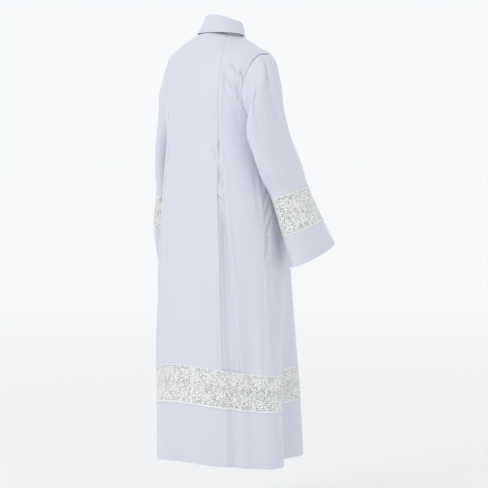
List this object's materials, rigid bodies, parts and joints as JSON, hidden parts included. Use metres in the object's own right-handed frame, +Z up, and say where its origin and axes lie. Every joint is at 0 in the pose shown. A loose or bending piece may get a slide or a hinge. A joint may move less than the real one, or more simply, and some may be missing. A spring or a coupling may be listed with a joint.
{
  "type": "alb robe",
  "caption": "Long white robe as worn, empty, with a turned-down collar, bell sleeves, inverted back pleats and lace bands in skirt and sleeves.",
  "frame": {"origin": "middle of the neck, level with the shoulder seams beside it, where the wearer's neck and shoulders hold the robe", "axes": "+Z up, the front of the robe faces -Y, the wearer's right is -X"},
  "size_m": [0.6974, 0.4583, 1.5018],
  "materials": {
    "robe_cloth": "smooth white satin-faced polyester",
    "lace": "open white embroidered lace"
  },
  "bodies": {
    "root": {"centre_back": "robe_cloth", "side_back_right": "robe_cloth", "side_back_left": "robe_cloth", "pleat_underlay_right": "robe_cloth", "pleat_underlay_left": "robe_cloth", "front_right": "robe_cloth", "front_left": "robe_cloth", "collar_stand": "robe_cloth", "collar_fall": "robe_cloth", "sleeve_right": "robe_cloth", "sleeve_left": "robe_cloth", "cuff_right": "robe_cloth", "cuff_left": "robe_cloth", "hem_band_back": "robe_cloth", "hem_band_front": "robe_cloth", "skirt_lace_back": "lace", "skirt_lace_front": "lace", "sleeve_lace_right_back": "lace", "sleeve_lace_right_front": "lace", "sleeve_lace_left_back": "lace", "sleeve_lace_left_front": "lace"}
  },
  "joints": []
}
